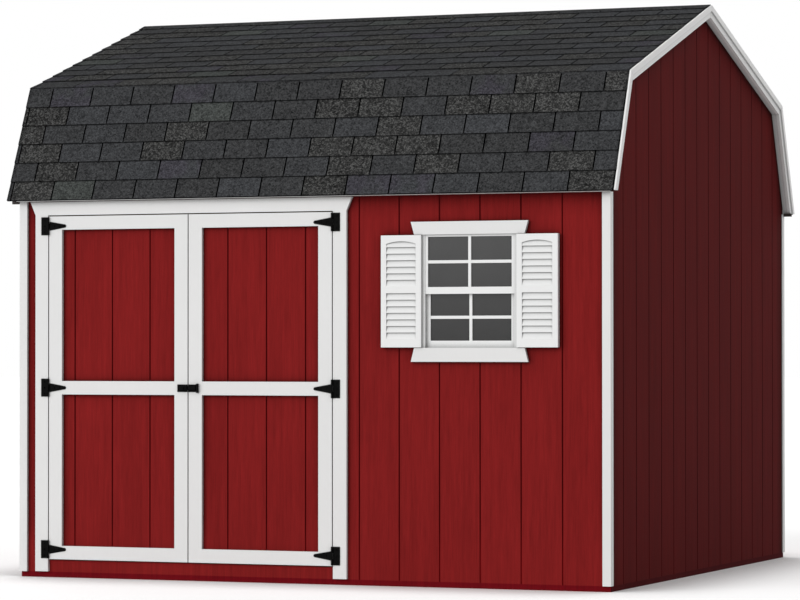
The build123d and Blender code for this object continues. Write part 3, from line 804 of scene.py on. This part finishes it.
# %% Shingle finish
CHARCOAL_WARM = (0.0450, 0.0455, 0.0465)
CHARCOAL_COOL = (0.0475, 0.0495, 0.0535)
SPECKLE_DARK = (0.0345, 0.0345, 0.034)
SPECKLE_PALE = (0.0705, 0.0705, 0.069)
VIOLET = (0.050, 0.048, 0.057)
PALE = (0.058, 0.063, 0.060)
SPECKLED, VIOLET_FROM, PALE_FROM = 0.58, 0.84, 0.955
GRAIN_SCALES = (125.0, 290.0)
GRAIN_DEPTH, TAB_DEPTH, CLOUD_DEPTH = 0.8, 0.16, 0.5
FLECK_RANGE, PATCH_RANGE = (0.48, 0.8), (0.42, 0.58)
STEP_SHADOW_RANGE = (0.93, 0.975)
STEP_PAINTED_SHADOW, CUT_DARK = 0.66, 0.92
RAKE_PAINTED_SHADE = (0.004, 0.018, 0.55, 1.0)
ASPHALT_TONE, LEAST_TONE, LEAST_DRAW = 0.03, 0.05, 0.0001
roof_low, roof_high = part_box("lower_shingles")

net, shader, shingle_finish = finish("shingle_granules")
point = point_of(net)
tab_values = {}
for name in ("shade", "kind", "cut", "edge", "under", "along"):
    tab_values[name] = net.node("ShaderNodeAttribute", {"attribute_name": name})("Fac")
shade, kind = tab_values["shade"], tab_values["kind"]
grains = [cell_draw(net, point, scale) for scale in GRAIN_SCALES]
cloud = net.noise(point, 16.0, 3.0)
patch = net.between(net.noise(point, 9.0, 2.0), *PATCH_RANGE)

charcoal = net.mix(shade, (*CHARCOAL_WARM, 1), (*CHARCOAL_COOL, 1))
fleck = net.between(grains[0] * 0.5 + grains[1] * 0.5, *FLECK_RANGE)
speckle = net.mix(fleck, (*SPECKLE_DARK, 1), (*SPECKLE_PALE, 1))
colour = net.mix((kind > SPECKLED) * (kind < VIOLET_FROM), charcoal, speckle)
colour = net.mix((kind > VIOLET_FROM) * (kind < PALE_FROM) * patch, colour, (*VIOLET, 1))
colour = net.mix(kind > PALE_FROM, colour, (*PALE, 1))

tone = 1.0 + (grains[0] - 0.5) * GRAIN_DEPTH + (grains[1] - 0.5) * GRAIN_DEPTH
tone = tone + (shade - 0.5) * TAB_DEPTH + (cloud - 0.5) * CLOUD_DEPTH
# Painted shadow in the step under each butt of the course above.
step = net.between(tab_values["along"] * (1.0 + COURSE_INPUTS["Lap"]), *STEP_SHADOW_RANGE)
step = step * tab_values["under"]
cut = tab_values["cut"] * tab_values["edge"]
# Painted shade on the tabs near the rake edges.
x = net.split(point)[0]
margin = net.sum("MINIMUM", x - roof_low.x, roof_high.x - x)
tone = tone * net.between(margin, *RAKE_PAINTED_SHADE)
tone = tone * (1.0 - step * STEP_PAINTED_SHADOW) * (1.0 - cut * CUT_DARK)
granules = shade + kind > LEAST_DRAW
tone = net.sum("MAXIMUM", tone, LEAST_TONE) * (ASPHALT_TONE + granules * (1 - ASPHALT_TONE))
net.plug(shader.inputs["Base Color"], net.scaled(colour, tone))
net.plug(shader.inputs["Roughness"], 0.85 + grains[1] * 0.15)
shader.inputs["Specular IOR Level"].default_value = 0.02
raise_grain(net, shader, grains[0] * 0.6 + grains[1] * 0.5, strength=0.5, distance=0.0012)
print("shingle finish reads", ", ".join(tab_values))

# %% [markdown]
# A tree does its work on an object as a modifier. Its inputs are set by their sockets'
# identifiers, and the evaluated result is copied to a plain mesh. The object that held the
# modifier is then removed, so only finished meshes are left, in place and unturned.


# %% Bake helpers
def new_piece(name, mesh):
    """An object at the origin that shows a mesh."""
    piece = bpy.data.objects.new(name, mesh)
    bpy.context.scene.collection.objects.link(piece)
    return piece


def run_tree(name, tree, values, places=()):
    """Runs a geometry tree on a mesh of places and gives its result as a plain mesh."""
    start = bpy.data.meshes.new(name)
    start.from_pydata(places, [], [])
    holder = new_piece(name, start)
    modifier = holder.modifiers.new("layout", "NODES")
    modifier.node_group = tree
    for socket in tree.interface.items_tree:
        if socket.in_out == "INPUT" and socket.name in values:
            modifier[socket.identifier] = values[socket.name]
    bpy.context.view_layer.update()
    result = holder.evaluated_get(bpy.context.evaluated_depsgraph_get())
    mesh = bpy.data.meshes.new_from_object(result)
    bpy.data.objects.remove(holder)
    return mesh


def joined(name, meshes):
    """Several meshes as one."""
    shape = bmesh.new()
    for mesh in meshes:
        shape.from_mesh(mesh)
    whole = bpy.data.meshes.new(name)
    shape.to_mesh(whole)
    shape.free()
    for material in meshes[0].materials:
        whole.materials.append(material)
    return whole


print("bake helpers ready")

# %% [markdown]
# The tree is run once for each slope, with the slope's length and number of courses. The
# mesh is then tipped to the slope and moved to its eave or knee; the back of the roof is
# the front turned half round, with other draws. The courses take the place of the plain
# layers of the solid model and lie in the same layer.

# %% Lay the roof
LOWER_COURSES, LOWER_LIP = 6, 0.004
LOWER_LAY = {
    "Courses": LOWER_COURSES,
    "Slope": LOWER_SLOPE,
    "Start": -LOWER_LIP,
    "Exposure": (LOWER_SLOPE + LOWER_LIP) / LOWER_COURSES,
}
UPPER_LAY = {
    "Courses": 12,
    "Slope": UPPER_SLOPE,
    "Start": 0.0225,
    "Exposure": 0.1195,
    "Drip": 0.002,
    "Thickness": 0.0045,
    "Cap": 0.045,
    "Edge": 0.6,
    "Soft": 1.0,
}
LOWER_FOOT, UPPER_FOOT = (-EAVE_Y, EAVE_Z), (-KNEE_Y, KNEE_Z)
SLOPES = {
    "front_lower": (LOWER_LAY, LOWER_FOOT, LOWER_ANGLE, False, 11),
    "rear_lower": (LOWER_LAY, LOWER_FOOT, LOWER_ANGLE, True, 23),
    "front_upper": (UPPER_LAY, UPPER_FOOT, UPPER_ANGLE, False, 37),
    "rear_upper": (UPPER_LAY, UPPER_FOOT, UPPER_ANGLE, True, 51),
}
ROOF_PIECES = {
    "lower_shingle_courses": (["front_lower", "rear_lower"], "lower_shingles"),
    "front_upper_courses": (["front_upper"], "front_upper_shingles"),
    "rear_upper_courses": (["rear_upper"], "rear_upper_shingles"),
}


def lay_slope(name, lay, foot, angle, back, seed):
    """One slope of shingles, placed on the roof deck."""
    values = {**COURSE_INPUTS, **COURSE_COUNTS, **lay, "Finish": shingle_finish, "Seed": seed}
    values["Run"] = roof_high.x - roof_low.x
    mesh = run_tree(name, shingle_tree, values)
    turn = Matrix.Rotation(math.pi, 4, "Z") if back else Matrix.Identity(4)
    middle = Matrix.Translation(((roof_low.x + roof_high.x) / 2, 0, 0))
    tipped = Matrix.Translation((0, *foot)) @ Matrix.Rotation(angle, 4, "X")
    mesh.transform(middle @ turn @ tipped)
    return mesh


laid = {name: lay_slope(name, *values) for name, values in SLOPES.items()}
for name, (parts, node) in ROOF_PIECES.items():
    piece = new_piece(name, joined(name, [laid[part] for part in parts]))
    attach(piece, "shed")
    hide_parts(node)
    print(name, len(piece.data.polygons), "faces")

# %% [markdown]
# Each sash has one upright and one level bar across its glass. They are slim white bars
# with eased edges, set on the outer face of the pane, with short tenons into the sash. Four
# bars need no tree: a box is scaled to each and its edges are bevelled.

# %% Window bars
BAR_WIDTH, BAR_DEPTH, BAR_EASE = 0.015, 0.006, 0.0012
BAR_TENON, BAR_STEP, PANE_HALF = 0.0015, 0.0004, 0.002
UPPER_STILE, UPPER_RAILS = 0.014, (0.0326, 0.0105)
LOWER_STILE, LOWER_RAILS = 0.021, (0.0335, 0.0326)


def eased_box(shape, low, high):
    """Adds a box with eased edges to a bmesh."""
    made = bmesh.ops.create_cube(shape, size=1.0)["verts"]
    centre = (Vector(low) + Vector(high)) / 2
    size = Vector(high) - Vector(low)
    bmesh.ops.scale(shape, vec=size, verts=made)
    bmesh.ops.translate(shape, vec=centre, verts=made)
    edges = list({edge for vert in made for edge in vert.link_edges})
    bmesh.ops.bevel(
        shape, geom=edges, offset=BAR_EASE, segments=2, affect="EDGES", profile=0.5
    )


shape = bmesh.new()
for (low, high), stile, rails in (
    (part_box("upper_sash"), UPPER_STILE, UPPER_RAILS),
    (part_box("lower_sash"), LOWER_STILE, LOWER_RAILS),
):
    face = (low.y + high.y) / 2 - PANE_HALF
    left, right = low.x + stile - BAR_TENON, high.x - stile + BAR_TENON
    bottom, top = low.z + rails[0] - BAR_TENON, high.z - rails[1] + BAR_TENON
    across, up = (left + right) / 2, (bottom + top) / 2
    half, front = BAR_WIDTH / 2, face - BAR_DEPTH
    eased_box(shape, (across - half, front, bottom), (across + half, face, top))
    eased_box(shape, (left, front + BAR_STEP, up - half), (right, face, up + half))
bars_mesh = bpy.data.meshes.new("window_bars")
shape.to_mesh(bars_mesh)
shape.free()
bars_mesh.materials.append(window_white)
bars = new_piece("window_bars", bars_mesh)
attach(bars, "shed")
print("window bars:", len(bars_mesh.polygons), "faces")

# %% [markdown]
# Lag bolts hold the hinges and small screws hold the latch. A bolt is a thin washer under
# a tapered six-sided head. Copies could be placed by hand, but a second small tree puts the
# pair on every place it is given and turns each head at random.

# %% Bolt tree
WASHER = {"Vertices": 14, "Radius Top": 0.94, "Radius Bottom": 1.0, "Depth": 0.2}
HEAD = {"Vertices": 6, "Radius Top": 0.58, "Radius Bottom": 0.68, "Depth": 0.8}
BOLT_SEED = 4


def cone_of(net, form, radius):
    """A washer or head in the proportions of a form."""
    sockets = {name: radius * share for name, share in form.items() if name != "Vertices"}
    sockets["Vertices"] = form["Vertices"]
    return net.node("GeometryNodeMeshCone", None, sockets)("Mesh")


def bolt_tree():
    """Node group that puts a bolt head, facing -Y, on every point of the mesh."""
    inputs = {"Geometry": "Geometry", "Radius": "Float", "Finish": "Material"}
    net = Net(new_tree("bolt_heads", inputs))
    given = net.node("NodeGroupInput")
    bolt = together(net, [cone_of(net, form, given("Radius")) for form in (WASHER, HEAD)])
    turn = random_draw(net, 0.0, 1.0, BOLT_SEED)
    sockets = {
        "Points": given("Geometry"),
        "Instance": bolt,
        "Rotation": net.vector(math.pi / 2, turn, 0.0),
    }
    end_tree(net, net.node("GeometryNodeInstanceOnPoints", None, sockets)(), given("Finish"))
    return net.tree


bolt_heads = bolt_tree()
print("bolt tree:", len(bolt_heads.nodes), "nodes")

# %% [markdown]
# Each hinge has three bolts in its upright leaf on the jamb and three along its strap on
# the door, and each half of the latch has four screws. Their places are worked out from the
# boxes of the metal pieces. Bolts ride on the same body as the metal that they hold, so
# they go with a door when it opens.

# %% Bolts and screws
BOLT_RADIUS, SCREW_RADIUS = 0.0055, 0.003
LEAF_WIDTH, LEAF_HEIGHT, HINGE_METAL, LATCH_METAL = 0.034, 0.088, 0.0025, 0.003
LEAF_STEPS = (-0.029, 0.0, 0.029)
STRAP_STEPS = (0.0085, 0.036, 0.064)
LATCH_STEPS, LATCH_RISES = (0.0165, 0.043), (-0.014, 0.014)

door_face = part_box("left_door_stiles")[0].y
hinge_face, latch_face = door_face - HINGE_METAL, door_face - LATCH_METAL
leaf_low, leaf_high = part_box("jamb_hinge_leaves")
lowest, highest = leaf_low.z + LEAF_HEIGHT / 2, leaf_high.z - LEAF_HEIGHT / 2
leaf_middles = (leaf_low.x + LEAF_WIDTH / 2, leaf_high.x - LEAF_WIDTH / 2)
left_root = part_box("left_hinge_straps")[1].x
right_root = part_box("right_hinge_straps")[0].x
bolt_places = {"shed": [], "left_door": [], "right_door": []}
for level in (lowest, (lowest + highest) / 2, highest):
    for middle in leaf_middles:
        bolt_places["shed"] += [(middle, hinge_face, level + step) for step in LEAF_STEPS]
    for step in STRAP_STEPS:
        bolt_places["left_door"].append((left_root - step, hinge_face, level))
        bolt_places["right_door"].append((right_root + step, hinge_face, level))

bolt_meshes = {}
for body, places in bolt_places.items():
    values = {"Radius": BOLT_RADIUS, "Finish": black_metal}
    bolt_meshes[body] = [run_tree(body + "_bolts", bolt_heads, values, places)]
for body, sign in (("left_door", 1), ("right_door", -1)):
    low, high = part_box(body.replace("door", "latch_half"))
    outer = low.x if sign > 0 else high.x
    middle = (low.z + high.z) / 2
    places = [
        (outer + sign * step, latch_face, middle + rise)
        for step in LATCH_STEPS
        for rise in LATCH_RISES
    ]
    values = {"Radius": SCREW_RADIUS, "Finish": black_metal}
    bolt_meshes[body].append(run_tree(body + "_screws", bolt_heads, values, places))
for body, meshes in bolt_meshes.items():
    bolts = new_piece(body + "_bolts", joined(body + "_bolts", meshes))
    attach(bolts, body)
    print(bolts.name, len(bolts.data.polygons), "faces")
